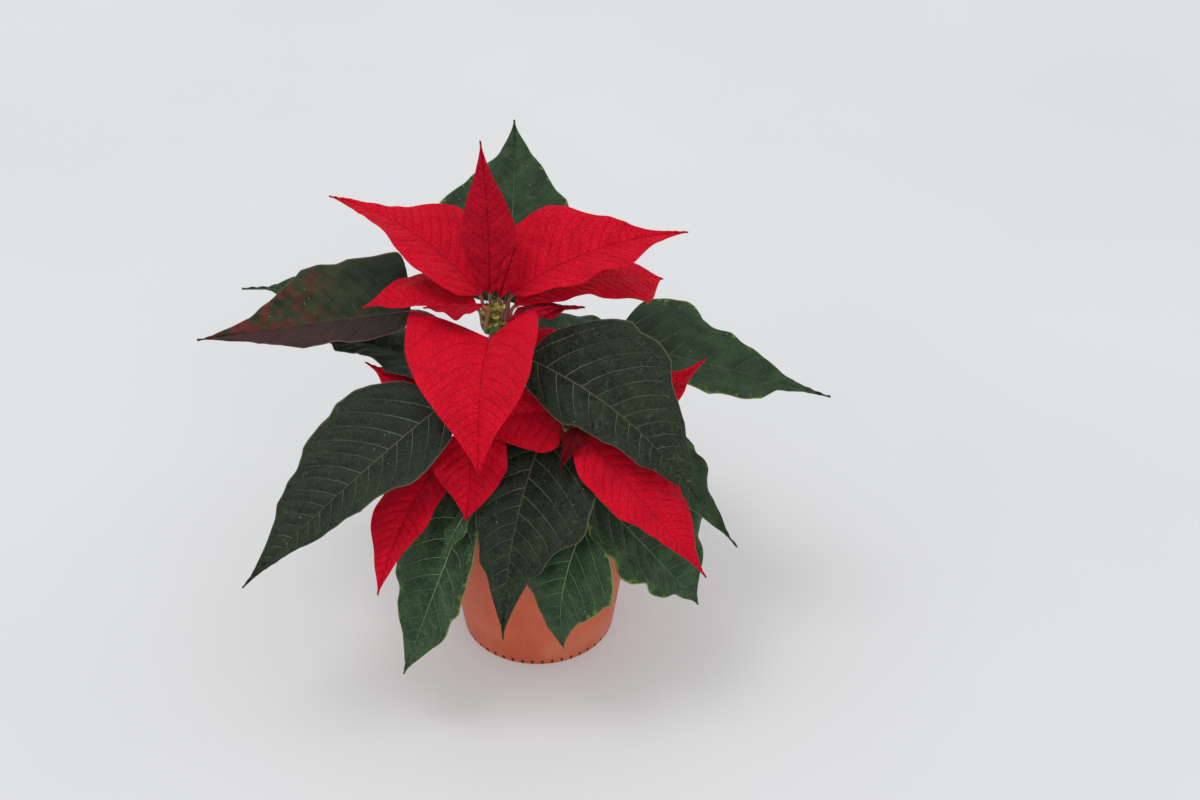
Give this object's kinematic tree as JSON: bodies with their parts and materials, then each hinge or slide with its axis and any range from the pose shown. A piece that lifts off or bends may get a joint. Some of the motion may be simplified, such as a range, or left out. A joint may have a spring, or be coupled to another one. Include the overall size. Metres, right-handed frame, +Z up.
{
  "type": "potted poinsettia",
  "caption": "Small potted poinsettia: pointed red bracts round tiny green flowers, dark toothed leaves on green stems, in a tapered clay-coloured plastic pot.",
  "frame": {"origin": "centre of the pot's foot, on the surface it stands on", "axes": "+Z up out of the soil; -Y towards the side the picture shows, +X to its right"},
  "size_m": [0.3041, 0.2229, 0.2531],
  "materials": {
    "clay_plastic": "satin clay-coloured moulded plastic",
    "peat": "damp dark peat",
    "stem_green": "smooth green stem with a red flush",
    "cyathium_green": "waxy yellow-green",
    "leaf_green": "dark green leaf with a pale net of veins",
    "bract_red": "velvety crimson bract with darker veins"
  },
  "bodies": {
    "root": {"pot": "clay_plastic", "soil": "peat", "stems": "stem_green", "cyathia_main": "cyathium_green", "cyathia_right": "cyathium_green", "cyathia_left": "cyathium_green", "leaf_back": "leaf_green", "leaf_left": "leaf_green", "leaf_left_back": "leaf_green", "leaf_left_low": "leaf_green", "leaf_front_left": "leaf_green", "leaf_front_right": "leaf_green", "leaf_right": "leaf_green", "leaf_right_back": "leaf_green", "leaf_right_side": "leaf_green", "leaf_right_low": "leaf_green", "leaf_front": "leaf_green", "leaf_front_low": "leaf_green", "leaf_front_low_left": "leaf_green", "leaf_front_small": "leaf_green", "leaf_rear_right": "leaf_green", "leaf_rear_left": "leaf_green", "leaf_rear_low": "leaf_green", "leaf_side_low": "leaf_green", "leaf_left_side_low": "leaf_green", "bract_main_back_left": "bract_red", "bract_main_upright": "bract_red", "bract_main_inner": "bract_red", "bract_main_back_right": "bract_red", "bract_main_right": "bract_red", "bract_main_right_low": "bract_red", "bract_main_front_small": "bract_red", "bract_main_front": "bract_red", "bract_main_left": "bract_red", "bract_main_left_low": "bract_red", "bract_right_front": "bract_red", "bract_right_side": "bract_red", "bract_right_back": "bract_red", "bract_right_left": "bract_red", "bract_right_inner": "bract_red", "bract_left_front": "bract_red", "bract_left_side": "bract_red", "bract_left_back": "bract_red"}
  },
  "joints": []
}
